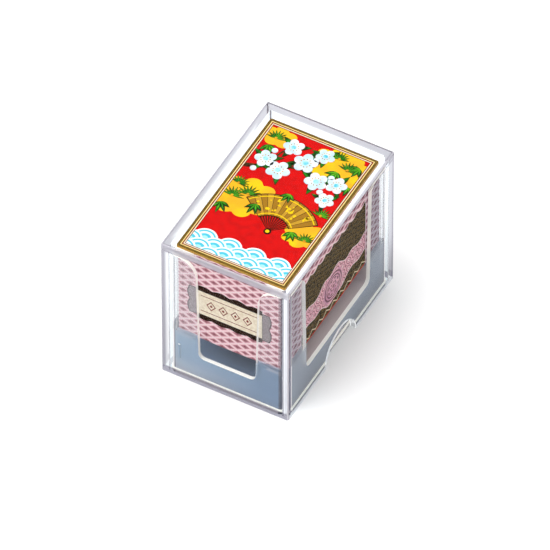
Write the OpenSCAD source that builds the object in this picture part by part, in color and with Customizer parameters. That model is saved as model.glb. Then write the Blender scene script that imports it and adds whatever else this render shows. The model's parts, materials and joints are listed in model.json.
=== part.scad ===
// Hanafuda card deck: 49 small stiff cards wrapped in printed paper, with a title card
// on top, in a clear case made of an inner tray and an outer cover.
// Millimetres, +Z up. X runs across the case and Y along it, and the end with the label
// faces -Y. The origin is the middle of the case's foot, on the table.

/* [Cards] */
// Width of one card
card_w = 32.5; // [28:0.5:40]
// Length of one card
card_l = 54; // [46:0.5:64]
// Thickness of one card
card_t = 0.66; // [0.5:0.01:0.9]
// Radius of a card's corners
card_corner_r = 0.8; // [0.3:0.1:1.5]
// Width of the lip where the back paper is turned over onto the face
card_lip_w = 1.1; // [0.6:0.1:2]
// Depth of the face below that lip
card_face_step = 0.06; // [0.03:0.01:0.12]

/* [Wrapper] */
// Thickness of the wrapping paper
paper_t = 0.15; // [0.1:0.01:0.25]
// Room between the stack of cards and the paper
wrap_slack = 0.05; // [0.02:0.01:0.2]
// Outer radius of the paper's folds along the deck
fold_r = 0.45; // [0.3:0.05:0.8]
// Width of the pasted seam under the deck
seam_w = 12; // [6:1:20]
// Distance from each end flap's edges to the sides of the deck
flap_inset = 0.6; // [0.3:0.1:2]
// Distance from the end flap's lower edge to the bottom of the deck
flap_short = 1.2; // [0.5:0.1:4]

/* [Title card] */
// Thickness of the title card
title_t = 0.8; // [0.4:0.1:1.5]
// How far the title card reaches past each long side of the deck
title_side_over = 1; // [0.2:0.05:1.3]
// How far the title card reaches past each end of the deck
title_end_over = 0.45; // [0.2:0.05:1.3]
// Radius of the title card's corners
title_corner_r = 0.5; // [0.2:0.1:1.5]

/* [End label] */
// Width of the label on the deck's end
label_w = 21; // [12:0.5:26]
// Height of the label
label_h = 9.4; // [5:0.2:14]
// Thickness of the label
label_t = 0.1; // [0.06:0.01:0.2]
// Distance of the label's middle below the middle of the deck
label_drop = 0.9; // [0:0.1:4]

/* [Tray] */
// Room between the deck and the tray on each side
deck_room = 0.4; // [0.3:0.05:0.8]
// Thickness of the tray's walls
tray_wall = 1.2; // [0.9:0.1:2]
// Outer radius of the tray's upright corners
tray_corner_r = 1.4; // [0.8:0.1:2.5]
// Height of the deck's seat above the table
floor_z = 16; // [14:0.5:24]
// Thickness of the raised floor and of its pockets
floor_t = 1.2; // [0.8:0.1:2]
// How far the deck's top stands above the tray
deck_proud = 0.3; // [0.1:0.1:2]
// Height of the foot rim
foot_h = 1.6; // [1:0.1:4]
// How far the foot rim stands out from the tray's walls
foot_step = 0.3; // [0.2:0.05:0.6]
// Height of the windows' sills above the table
sill_z = 9.5; // [6:0.5:12]
// Radius of the windows' lower corners
sill_r = 2; // [0.5:0.1:4]
// Lean of the windows' sides, in degrees
window_taper = 1.4; // [0.5:0.1:3]
// Width of the corner posts at their tops, seen on the ends
end_post_w = 8.1; // [7:0.05:11]
// Width of the corner posts at their tops, seen on the long sides
side_post_w = 9.3; // [7:0.1:14]
// Radius of the posts' shoulders on the ends
end_shoulder_r = 6.3; // [2:0.1:6.5]
// Radius of the posts' shoulders on the long sides
side_shoulder_r = 2.6; // [1:0.1:6]
// Depth of the finger pocket in the floor behind each window
finger_pocket = 5; // [2:0.5:7]
// Radius of the grip beads
bead_r = 0.6; // [0.4:0.05:1]
// How far the grip beads stand out from the end walls
bead_proud = 0.25; // [0.1:0.05:0.4]
// Length of the grip beads
bead_l = 6.4; // [3:0.2:10]
// Height of the grip beads' lower ends above the table
bead_z = 6; // [3:0.5:12]
// Distance of the grip beads from the tray's side
bead_inset = 2.6; // [2:0.1:4]

/* [Cover] */
// Room between the tray's foot rim and the cover on each side
case_room = 0.2; // [0.1:0.05:0.5]
// Thickness of the cover's walls
cover_wall = 2; // [1:0.1:2.5]
// Thickness of the cover's roof
roof_t = 2; // [1:0.1:2.5]
// Room between the title card and the roof
head_room = 1.26; // [0.3:0.02:4]
// Radius of the cover's outer edges
cover_edge_r = 0.6; // [0.3:0.05:0.9]
// Radius of the cover's inner upright corners
cover_inner_r = 0.5; // [0.2:0.05:1]
// Radius of the thumb notches in the cover's long sides
notch_r = 9; // [5:0.5:12]

/* [Hidden] */
SUITS = [
    "pine", "plum", "cherry", "wisteria", "iris", "peony",
    "bush_clover", "pampas", "chrysanthemum", "maple", "willow", "paulownia"
];
CARDS_PER_SUIT = 4;
CARD_NODES = concat(
    [for (suit = SUITS) for (n = [1 : CARDS_PER_SUIT]) str("card_", suit, "_", n)],
    ["card_spare"]
);

SIDES = [-1, 1];
// How far a cut runs past the face that it opens
overrun = 1;
$fn = 64;

stack_h = len(CARD_NODES) * card_t;
wrap_in_w = card_w + 2 * wrap_slack;
wrap_in_l = card_l + 2 * wrap_slack;
wrap_w = wrap_in_w + 2 * paper_t;
// One layer of paper closes each end, under the end flap
tube_l = wrap_in_l + 2 * paper_t;
deck_l = tube_l + 2 * paper_t;
// The seam is a second layer under the bottom
tube_z = floor_z + paper_t;
stack_z = tube_z + paper_t;
deck_top_z = stack_z + stack_h + wrap_slack + paper_t;
tube_h = deck_top_z - tube_z;
deck_mid_z = (floor_z + deck_top_z) / 2;

title_w = wrap_w + 2 * title_side_over;
title_l = deck_l + 2 * title_end_over;

tray_in_w = wrap_w + 2 * deck_room;
tray_in_l = deck_l + 2 * deck_room;
tray_w = tray_in_w + 2 * tray_wall;
tray_l = tray_in_l + 2 * tray_wall;
tray_h = deck_top_z - deck_proud;
tray_in_r = max(tray_corner_r - tray_wall, wrap_slack);
foot_w = tray_w + 2 * foot_step;
foot_l = tray_l + 2 * foot_step;

cover_in_w = foot_w + 2 * case_room;
cover_in_l = foot_l + 2 * case_room;
cover_w = cover_in_w + 2 * cover_wall;
cover_l = cover_in_l + 2 * cover_wall;
cover_in_h = deck_top_z + title_t + head_room;
cover_h = cover_in_h + roof_t;

// A rectangle with round corners, centred
module rounded_rect(w, l, r) {
    square([w - 2 * r, l], center = true);
    square([w, l - 2 * r], center = true);
    for (x = SIDES, y = SIDES)
        translate([x * (w / 2 - r), y * (l / 2 - r)])
            circle(r);
}

// A block with round upright edges and round top edges, standing on z = 0
module rounded_block(w, l, h, r) {
    linear_extrude(h - r) rounded_rect(w, l, r);
    linear_extrude(h) square([w - 2 * r, l - 2 * r], center = true);
    translate([0, 0, h - r]) {
        for (x = SIDES)
            translate([x * (w / 2 - r), 0, 0])
                rotate([90, 0, 0])
                    cylinder(h = l - 2 * r, r = r, center = true);
        for (y = SIDES)
            translate([0, y * (l / 2 - r), 0])
                rotate([0, 90, 0])
                    cylinder(h = w - 2 * r, r = r, center = true);
        for (x = SIDES, y = SIDES)
            translate([x * (w / 2 - r), y * (l / 2 - r), 0])
                sphere(r);
    }
}

// Outline of a tray window: round lower corners, leaning sides and, at the top, the round
// shoulders of the posts beside it. Its first axis runs along the wall and its second is z.
// With grow it is larger by that much at its sides and its sill.
module window_outline(post_half, shoulder_r, grow = 0) {
    top_half = post_half + grow;
    low_r = sill_r + grow;
    low_z = sill_z - grow;
    corner_z = low_z + low_r;
    shoulder_z = tray_h - shoulder_r;
    low_half = top_half - (shoulder_z - corner_z) * tan(window_taper);
    corner_x = low_half - low_r;
    cut_h = shoulder_r + overrun;
    polygon([
        [-low_half, corner_z],
        [low_half, corner_z],
        [top_half, shoulder_z],
        [top_half, shoulder_z + cut_h],
        [-top_half, shoulder_z + cut_h],
        [-top_half, shoulder_z]
    ]);
    translate([-corner_x, low_z]) square([2 * corner_x, 2 * low_r]);
    for (flip = [0, 1]) mirror([flip, 0]) {
        translate([corner_x, corner_z]) circle(low_r);
        difference() {
            translate([top_half - shoulder_r, shoulder_z]) square([2 * shoulder_r, cut_h]);
            translate([top_half + shoulder_r, shoulder_z]) circle(shoulder_r);
        }
    }
}

// Cuts a window, with its finger pocket, into the wall that faces -Y at y = -wall_y
module window_cut(wall_y, post_half, shoulder_r) {
    translate([0, -wall_y + tray_wall + finger_pocket, 0])
        rotate([90, 0, 0])
            linear_extrude(tray_wall + finger_pocket + overrun)
                window_outline(post_half, shoulder_r);
}

// The block that a finger pocket is cut from, from inside that wall up to the deck's seat
module pocket_block(wall_y, post_half, shoulder_r) {
    pocket_l = finger_pocket + floor_t;
    translate([0, -wall_y + tray_wall + pocket_l, 0])
        rotate([90, 0, 0])
            linear_extrude(pocket_l + tray_wall / 2)
                intersection() {
                    window_outline(post_half, shoulder_r, floor_t);
                    translate([-tray_l, 0]) square([2 * tray_l, floor_z]);
                }
}

// A half-round upright bead with round ends
module grip_bead() {
    end_z = bead_l - bead_r;
    translate([0, 0, bead_r]) {
        cylinder(h = end_z - bead_r, r = bead_r);
        sphere(bead_r);
        translate([0, 0, end_z - bead_r]) sphere(bead_r);
    }
}

// Outer cover: five clear walls, with a thumb notch at the foot of each long side
module case_cover() {
    color([0.90, 0.93, 0.95, 0.3])
        difference() {
            rounded_block(cover_w, cover_l, cover_h, cover_edge_r);
            translate([0, 0, -overrun])
                linear_extrude(cover_in_h + overrun)
                    rounded_rect(cover_in_w, cover_in_l, cover_inner_r);
            rotate([0, 90, 0])
                cylinder(h = cover_w + 2 * overrun, r = notch_r, center = true);
        }
}

// Four walls on a foot rim, with the raised floor that seats the deck
module tray_shell() {
    difference() {
        union() {
            linear_extrude(tray_h) rounded_rect(tray_w, tray_l, tray_corner_r);
            linear_extrude(foot_h)
                rounded_rect(foot_w, foot_l, tray_corner_r + foot_step);
        }
        translate([0, 0, floor_z])
            linear_extrude(tray_h - floor_z + overrun)
                rounded_rect(tray_in_w, tray_in_l, tray_in_r);
        translate([0, 0, -overrun])
            linear_extrude(floor_z - floor_t + overrun)
                rounded_rect(tray_in_w, tray_in_l, tray_in_r);
    }
}

// Inner tray: four corner posts, a window in each wall and, behind each window, a finger
// pocket moulded into the raised floor
module case_tray() {
    end_half = tray_w / 2 - end_post_w;
    side_half = tray_l / 2 - side_post_w;
    color([0.82, 0.86, 0.92, 0.6])
        union() {
            difference() {
                union() {
                    tray_shell();
                    for (turn = [0, 180]) rotate([0, 0, turn])
                        pocket_block(tray_l / 2, end_half, end_shoulder_r);
                    for (turn = [90, 270]) rotate([0, 0, turn])
                        pocket_block(tray_w / 2, side_half, side_shoulder_r);
                }
                for (turn = [0, 180]) rotate([0, 0, turn])
                    window_cut(tray_l / 2, end_half, end_shoulder_r);
                for (turn = [90, 270]) rotate([0, 0, turn])
                    window_cut(tray_w / 2, side_half, side_shoulder_r);
            }
            for (turn = [0, 180]) rotate([0, 0, turn])
                translate([bead_inset - tray_w / 2, bead_r - bead_proud - tray_l / 2, bead_z])
                    grip_bead();
        }
}

// Title card, lying on the wrapped deck
module title_card() {
    color("firebrick")
        translate([0, 0, deck_top_z])
            linear_extrude(title_t)
                rounded_rect(title_w, title_l, title_corner_r);
}

// Printed paper round the stack: a folded tube, a pasted seam under it and a flap on each end
module deck_wrapper() {
    color("palevioletred")
        difference() {
            union() {
                translate([0, tube_l / 2, tube_z + tube_h / 2])
                    rotate([90, 0, 0])
                        linear_extrude(tube_l) rounded_rect(wrap_w, tube_h, fold_r);
                translate([-seam_w / 2, -tube_l / 2, floor_z])
                    cube([seam_w, tube_l, 2 * paper_t]);
                translate([flap_inset - wrap_w / 2, -deck_l / 2, tube_z + flap_short])
                    cube([wrap_w - 2 * flap_inset, deck_l, tube_h - flap_short - fold_r]);
            }
            translate([-wrap_in_w / 2, -wrap_in_l / 2, stack_z])
                cube([wrap_in_w, wrap_in_l, stack_h + wrap_slack]);
        }
}

// Paper label pasted on the deck's front end
module end_label() {
    color("ivory")
        translate([-label_w / 2, -deck_l / 2 - label_t, deck_mid_z - label_drop - label_h / 2])
            cube([label_w, label_t, label_h]);
}

// One card, face up: the back paper is turned over as a lip round the face
module card(place) {
    color("crimson")
        translate([0, 0, stack_z + place * card_t])
            difference() {
                linear_extrude(card_t) rounded_rect(card_w, card_l, card_corner_r);
                translate([0, 0, card_t - card_face_step])
                    linear_extrude(card_face_step + overrun)
                        square([card_w - 2 * card_lip_w, card_l - 2 * card_lip_w], center = true);
            }
}

case_cover();
case_tray();
title_card();
deck_wrapper();
end_label();
for (place = [0 : len(CARD_NODES) - 1])
    card(place);
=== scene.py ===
"""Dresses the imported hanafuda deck: clear cover, hazy tray, printed wrapper and title card.

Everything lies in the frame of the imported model, in metres: X across the case, Y along it
and Z up. Sizes in this file are in millimetres and meet Blender through MM.
"""
from __future__ import annotations

import json
import logging
import math
import random
from dataclasses import dataclass
from enum import Enum
from typing import Callable, Sequence, Union

import bmesh
import bpy
from mathutils import Matrix, Vector

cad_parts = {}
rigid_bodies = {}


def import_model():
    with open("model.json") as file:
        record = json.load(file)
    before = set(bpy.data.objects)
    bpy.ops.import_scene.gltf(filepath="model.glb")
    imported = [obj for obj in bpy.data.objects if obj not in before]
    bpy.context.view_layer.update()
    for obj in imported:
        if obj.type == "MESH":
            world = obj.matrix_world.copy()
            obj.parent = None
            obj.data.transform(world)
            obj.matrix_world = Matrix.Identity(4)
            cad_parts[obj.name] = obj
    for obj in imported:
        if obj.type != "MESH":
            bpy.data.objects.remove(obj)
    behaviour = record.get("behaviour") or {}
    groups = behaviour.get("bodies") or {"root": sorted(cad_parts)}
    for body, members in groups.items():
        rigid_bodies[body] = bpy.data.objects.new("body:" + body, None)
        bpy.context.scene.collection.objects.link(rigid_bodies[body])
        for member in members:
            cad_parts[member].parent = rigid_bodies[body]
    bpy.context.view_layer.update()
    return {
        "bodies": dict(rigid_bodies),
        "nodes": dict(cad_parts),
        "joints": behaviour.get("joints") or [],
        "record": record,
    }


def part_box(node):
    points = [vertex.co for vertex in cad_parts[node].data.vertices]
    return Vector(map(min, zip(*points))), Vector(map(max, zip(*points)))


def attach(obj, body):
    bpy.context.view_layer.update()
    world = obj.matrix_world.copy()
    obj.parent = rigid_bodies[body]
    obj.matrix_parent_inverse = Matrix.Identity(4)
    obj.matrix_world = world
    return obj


MM = 0.001
MIX_LOW, MIX_HIGH, MIX_RESULT = 6, 7, 2  # a Mix node's sockets for colours
log = logging.getLogger("hanafuda_deck")

Frame = dict[str, object]


class Ink(Enum):
    """Colours of the prints, papers and plastics, as sRGB values from 0 to 255."""

    RED = (224, 6, 4)
    WORN_RED = (204, 6, 5)
    DEEP_RED = (128, 12, 10)
    YELLOW = (255, 208, 16)
    ORANGE = (246, 176, 36)
    WHITE = (250, 252, 252)
    PETAL_SHADE = (206, 226, 236)
    CYAN = (84, 200, 220)
    PALE_CYAN = (176, 232, 240)
    LEAF = (44, 138, 26)
    LIME = (112, 190, 30)
    DARK_LEAF = (22, 58, 20)
    BROWN = (170, 118, 28)
    DARK_BROWN = (52, 26, 10)
    FOLD = (206, 152, 44)
    GOLD = (206, 164, 84)
    CREAM = (250, 226, 190)
    PINK = (238, 178, 186)
    PALE_PINK = (250, 218, 218)
    ROSE = (184, 120, 128)
    DARK_ROSE = (146, 82, 92)
    PLUM = (96, 40, 62)
    MAUVE = (206, 136, 160)
    OLIVE = (84, 62, 30)
    DARK_OLIVE = (40, 30, 14)
    PALE_OLIVE = (116, 92, 52)
    GILT_LINE = (250, 214, 130)
    PLAQUE = (40, 16, 8)
    EAR = (148, 132, 134)
    EAR_LINE = (84, 64, 68)
    LABEL = (252, 233, 209)
    LABEL_FIBRE = (230, 206, 176)
    LABEL_INK = (132, 44, 30)
    BOARD_BACK = (128, 24, 22)
    BOARD_FACE = (238, 228, 204)
    HAZE = (166, 186, 212)
    # also painted light on the ends' low left parts and on the turned corners
    MILK = (246, 234, 234)
    # painted light on the left of the tray's ends
    FROST = (206, 224, 240)
    # painted shade on the tray's long sides
    SMOKE = (178, 180, 190)
    # painted light on the pocket plates under the deck
    PAINTED_POCKET_LIGHT = (238, 216, 210)
    # also the colour of the tray's painted glow
    HAZE_EDGE = (255, 249, 240)
    SHADE = (158, 168, 184)
    BLACK = (0, 0, 0)
    FULL_WHITE = (255, 255, 255)
    CLEAR = (250, 252, 253)
    # painted shade and light on the cover's borders and cut edges
    PAINTED_EDGE_GREY = (176, 173, 184)
    # painted shade on the cover's rounded edges and the tray's corners
    PAINTED_RIM_SHADE = (104, 104, 116)
    FLOOR = (246, 246, 246)

    @property
    def linear(self) -> tuple[float, float, float, float]:
        """Returns the colour as Blender's linear RGBA."""
        parts = [c / 255 for c in self.value]
        return (*(c / 12.92 if c <= 0.04045 else ((c + 0.055) / 1.055) ** 2.4 for c in parts), 1.0)


def math_method(operation: str, swapped: bool = False) -> Callable[..., Value]:
    """Makes a method of Value that adds one Math node.

    Args:
        operation: what the node does.
        swapped: whether the other operand comes first, as in 1 - mask.

    Returns:
        The method, which takes the other operand where there is one.
    """
    def method(self: Value, *other: Number) -> Value:
        """Adds the node on this value and the other operand."""
        operands = (*other, self) if swapped else (self, *other)
        return self.tree.value("Math", {"operation": operation}, dict(enumerate(operands)))
    return method


class Value:
    """A socket of a node tree that takes part in Python arithmetic.

    % wraps into the range from 0 to the other value, < and > give 1 where they hold, & and |
    keep the smaller and the larger of two masks, and ~ turns a mask round.
    """

    __add__, __radd__ = math_method("ADD"), math_method("ADD", swapped=True)
    __sub__, __rsub__ = math_method("SUBTRACT"), math_method("SUBTRACT", swapped=True)
    __mul__, __rmul__ = math_method("MULTIPLY"), math_method("MULTIPLY", swapped=True)
    __truediv__, __mod__ = math_method("DIVIDE"), math_method("FLOORED_MODULO")
    __lt__, __gt__ = math_method("LESS_THAN"), math_method("GREATER_THAN")
    __and__, __or__ = math_method("MINIMUM"), math_method("MAXIMUM")
    __abs__, floor = math_method("ABSOLUTE"), math_method("FLOOR")
    sine, root = math_method("SINE"), math_method("SQRT")

    def __init__(self, tree: ShaderTree, socket: bpy.types.NodeSocket) -> None:
        """Keeps the tree, for the Math nodes to come, and the socket."""
        self.tree = tree
        self.socket = socket

    def __invert__(self) -> Value:
        """Turns a mask round."""
        return 1 - self

    def wave(self, pitch: float) -> Value:
        """Returns a sine wave that repeats at a pitch."""
        return (self * (2 * math.pi / pitch)).sine()

    def zigzag(self, pitch: float) -> Value:
        """Returns the distance from the middle of each pitch."""
        return abs((self % pitch) - pitch / 2)

    def rise(self, low: float, high: float) -> Value:
        """Goes smoothly from 0 at low to 1 at high."""
        return self.tree.value(
            "MapRange", {"interpolation_type": "SMOOTHSTEP"},
            {"Value": self, "From Min": low, "From Max": high})

    def over(self, limit: Number, blur: float = 0.04) -> Value:
        """Masks what is above a limit, with an edge of twice the blur's width."""
        return (self - limit).rise(-blur, blur)

    def under(self, limit: Number, blur: float = 0.04) -> Value:
        """Masks what is below a limit, with an edge of twice the blur's width."""
        return ~self.over(limit, blur)


Number = Union[Value, float]
Colour = Union[Value, Ink]


class ShaderTree:
    """Fills the node tree of a material or of the world."""

    def __init__(self, tree: bpy.types.NodeTree) -> None:
        """Empties the tree that is to be filled."""
        self.tree = tree
        tree.nodes.clear()

    def add(self, kind: str, settings: dict[str, object] | None = None,
            inputs: dict[str | int, object] | None = None) -> bpy.types.Node:
        """Adds one node.

        Args:
            kind: the node's type without its ShaderNode prefix.
            settings: attributes that are set before the sockets.
            inputs: values, inks, or wrapped sockets to link, by socket name or number.

        Returns:
            The new node.
        """
        node = self.tree.nodes.new(f"ShaderNode{kind}")
        for name, setting in (settings or {}).items():
            setattr(node, name, setting)
        for key, given in (inputs or {}).items():
            if isinstance(given, Value):
                self.tree.links.new(given.socket, node.inputs[key])
            else:
                plain = given.linear if isinstance(given, Ink) else given
                node.inputs[key].default_value = plain
        return node

    def value(self, kind: str, settings: dict[str, object] | None = None,
              inputs: dict[str | int, object] | None = None, output: str | int = 0) -> Value:
        """Adds one node as add does and wraps the output that is asked for."""
        return Value(self, self.add(kind, settings, inputs).outputs[output])

    def mix(self, mask: Value, low: Colour, high: Colour) -> Value:
        """Mixes two colours: the low one where the mask is 0, the high one where it is 1."""
        return self.value("Mix", {"data_type": "RGBA"},
                          {0: mask, MIX_LOW: low, MIX_HIGH: high}, MIX_RESULT)

    def blend(self, mask: Value, low: Value, high: Value) -> Value:
        """Mixes two shaders, as mix does two colours."""
        return self.value("MixShader", inputs={0: mask, 1: low, 2: high})

    def paint(self, ground: Colour, *coats: tuple[Value, Colour]) -> Value:
        """Lays coats of colour over a ground.

        Args:
            ground: the colour below.
            coats: the mask and the colour of each coat, from the lowest to the highest.

        Returns:
            The painted colour.
        """
        for mask, colour in coats:
            ground = self.mix(mask, ground, colour)
        return ground

    def window(self, ink: Ink) -> Value:
        """Returns a shader that lets light go straight on, tinted by an ink."""
        return self.value("BsdfTransparent", inputs={"Color": ink})

    def place(self) -> Value:
        """Returns the vector of Object coordinates, in millimetres."""
        spot = self.value("TexCoord", output="Object")
        return self.value("VectorMath", {"operation": "SCALE"}, {0: spot, "Scale": 1 / MM})

    def split(self, vector: Value) -> tuple[Value, Value, Value]:
        """Returns the three parts of a vector."""
        node = self.add("SeparateXYZ", inputs={0: vector})
        return tuple(Value(self, out) for out in node.outputs)

    def facing(self) -> tuple[Value, Value, Value]:
        """Returns the three parts of the surface's normal."""
        return self.split(self.value("NewGeometry", output="Normal"))

    def slant(self) -> Value:
        """Returns how far the surface turns away from the line of sight, from 0 to 1."""
        return self.value("LayerWeight", output="Facing")

    def noise(self, vector: Value, scale: float, detail: float = 2.0) -> Value:
        """Returns noise from 0 to 1, with its scale in cells per millimetre."""
        return self.value("TexNoise", inputs={"Vector": vector, "Scale": scale, "Detail": detail})

    def bump(self, height: Value, depth: float) -> Value:
        """Returns a normal that is bent by a height of the given depth in millimetres."""
        return self.value("Bump", inputs={
            "Strength": 1.0, "Distance": depth * MM, "Height": height})

    def ray(self, *kinds: str) -> Value:
        """Masks some kinds of rays.

        Args:
            kinds: their names, as the Light Path node has them.

        Returns:
            1 for a ray of any of these kinds.
        """
        path = self.add("LightPath")
        total, *others = (Value(self, path.outputs[f"Is {kind} Ray"]) for kind in kinds)
        for mask in others:
            total = total | mask
        return total


@dataclass(frozen=True)
class Finish:
    """A surface finish, which makes one material."""

    name: str

    def material(self) -> bpy.types.Material:
        """Makes the material and fills its nodes.

        Returns:
            The new material.
        """
        made = bpy.data.materials.new(self.name)
        made.use_nodes = True
        tree = ShaderTree(made.node_tree)
        tree.add("OutputMaterial", inputs={"Surface": self.shade(tree)})
        return made

    def shade(self, tree: ShaderTree) -> Value:
        """Adds the finish's nodes and returns its shader."""
        raise NotImplementedError


@dataclass(frozen=True)
class ClearPlastic(Finish):
    """Polished clear polystyrene of the cover: open panes between edges that bend the light.

    A face is flat where its normal passes square, and outside where it lies within the skin.
    Light is trapped in the wall where it would be mirrored back. Its grey borders are painted
    shade, its rounded and cut edges carry painted light and shade, and trapped light a painted
    glow.
    """

    half_x: float
    half_y: float
    high: float
    wall: float = 2.1
    skin: float = 0.1
    rim_skin: float = 0.3
    square: float = 0.97
    line: float = 0.7
    line_blur: float = 0.3
    seam_blur: float = 0.2
    fade: float = 8.0
    fade_blur: float = 3.0
    # shares of painted shade on the cover's borders: edges, trapped light, uprights and foot
    edge_shade: float = 0.7
    edge_shade_drop: float = 5.25
    upright_shade: float = 0.6
    upright_blur: float = 0.4
    foot: float = 2.6
    foot_blur: float = 0.3
    end_foot_shade: float = 1.0
    side_foot_shade: float = 0.4
    # share of the painted pale band just under the roof on each end
    roof_band_light: float = 0.75
    roof_blur: float = 0.15
    # share of the painted glow where light is trapped in the side walls and the roof
    painted_glow: float = 0.9
    glow: float = 0.7
    notch: float = 9.6
    arch_line: float = 0.3
    arch_clear: float = 0.3
    # height below which the far end of each thumb notch has painted shade
    arch_low: float = 5.6
    ior: float = 1.58
    mirror: float = 0.98
    polish: float = 0.015
    smudge: float = 0.035
    edge_rough: float = 0.1
    ripple_depth: float = 0.05
    turn_from: float = 0.45
    turn_to: float = 0.75
    shine: float = 0.005
    graze: float = 0.015
    # share of painted light and shade on the rounded and cut edges
    frost: float = 0.8

    def pane(self, tree: ShaderTree, ink: Ink, trapped: Value) -> Value:
        """Adds a pane that bends the light.

        Args:
            tree: where the nodes go.
            ink: the colour that it gives the light.
            trapped: 1 where the light can't leave, and goes straight on instead.

        Returns:
            The see-through shader.
        """
        bent = tree.value("BsdfRefraction", inputs={
            "Color": ink, "IOR": self.ior, "Roughness": 0.0})
        return tree.blend(trapped, bent, tree.window(ink))

    def shade(self, tree: ShaderTree) -> Value:
        """Adds the nodes: clear panes with a film of shine, grey borders and pale cut edges.

        The grey borders are painted shade, and the pale cut edges carry painted light, shade and
        glow.

        Args:
            tree: where the nodes go.

        Returns:
            The shader.
        """
        spot = tree.place()
        x, y, z = tree.split(spot)
        depths = in_x, in_y, in_z = self.half_x - abs(x), self.half_y - abs(y), self.high - z
        side, end, roof = ((abs(turn) > self.square) & (depth < self.wall)
                           for turn, depth in zip(tree.facing(), depths))
        to_edge = (in_x & in_y) | ((in_x | in_y) & in_z)
        shell = in_x & in_y & in_z
        outside = shell < self.skin
        slant = tree.slant()
        trapped = tree.value("Fresnel", inputs={"IOR": self.ior}) > self.mirror
        held = trapped & ~outside

        marks = tree.noise(spot, scale=0.22, detail=4.0).rise(0.5, 0.75)
        polish = self.polish + self.smudge * marks
        ripple = tree.bump(tree.noise(spot, scale=0.06, detail=1.0), self.ripple_depth)
        glass = tree.value("BsdfPrincipled", inputs={
            "Base Color": Ink.CLEAR, "IOR": self.ior, "Transmission Weight": 1.0,
            "Roughness": polish, "Normal": ripple})
        # pale and dark grey surfaces that paint light and shade on the edges
        pale, dark = (tree.value("BsdfPrincipled", inputs={
            "Base Color": ink, "Roughness": polish + self.edge_rough, "Normal": ripple})
            for ink in (Ink.PAINTED_EDGE_GREY, Ink.PAINTED_RIM_SHADE))
        # painted glow: an emission that stands in for light carried along the walls
        painted_glow = tree.value("BsdfPrincipled", inputs={
            "Base Color": Ink.CLEAR, "Emission Color": Ink.CLEAR,
            "Emission Strength": self.glow, "Roughness": self.edge_rough})
        shine = tree.value("BsdfAnisotropic", inputs={"Roughness": polish, "Normal": ripple})
        # the second pane is tinted grey: painted shade for the dark foot and floor that light in
        # the wall would show
        clear, shaded_pane = (self.pane(tree, ink, trapped) for ink in (Ink.CLEAR, Ink.PAINTED_EDGE_GREY))

        film = tree.blend(outside * (self.shine + self.graze * slant * slant * slant), clear, shine)
        edges = ((roof & to_edge.under(self.line, self.line_blur))
                 | (trapped & to_edge.under(self.fade, self.fade_blur))
                 | (~roof & abs(in_z - self.wall).under(self.line / 2, self.seam_blur)))
        uprights = outside & ~roof & to_edge.under(2 * self.line, self.upright_blur)
        foot_shade = self.end_foot_shade * end | self.side_foot_shade * side
        # painted shade: grey along the edges, over trapped light in the ends, on the uprights and
        # at the foot
        border = (self.edge_shade * ((outside & edges) | (end & held & (in_z > self.edge_shade_drop)))
                  | self.upright_shade * uprights
                  | foot_shade * (outside & z.under(self.foot, self.foot_blur)))
        # painted glow where light is trapped in the side walls, and further down on the roof
        lit = tree.blend(self.painted_glow * (side & held), tree.blend(border, film, shaded_pane), painted_glow)
        # painted light: a pale band just under the roof on each end
        roof_band = self.roof_band_light * (outside & end & in_z.under(self.wall, self.roof_blur))
        face = tree.blend(self.painted_glow * (roof & held) | roof_band, lit, pale)

        arch = (z | abs(y)) < self.notch
        arch_lines = abs(in_x - self.wall / 2) > self.wall / 2 - self.arch_line
        # painted shade: the low far end of each thumb notch is pale grey, where the rest of the
        # arch has the painted glow
        shaded_arch_end = (y * (2 * (x > 0) - 1) > 0) & (z < self.arch_low) & ~arch_lines
        # painted light and shade on the rounded edges: pale grey where they face the view, dark
        # grey where they turn away
        away = slant.rise(self.turn_from, self.turn_to)
        turned = tree.blend(away & (shell < self.rim_skin), pale, dark)
        rounded = tree.blend(arch, turned, tree.blend(shaded_arch_end, painted_glow, pale))
        # the rounded and cut edges take mostly these painted shades, with a little glass
        rim = tree.blend(self.frost - self.arch_clear * arch, glass, rounded)
        body = tree.blend(side | end | roof | (z < self.skin), rim, face)
        return tree.blend(tree.ray("Shadow", "Diffuse"), body, tree.window(Ink.CLEAR))


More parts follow.
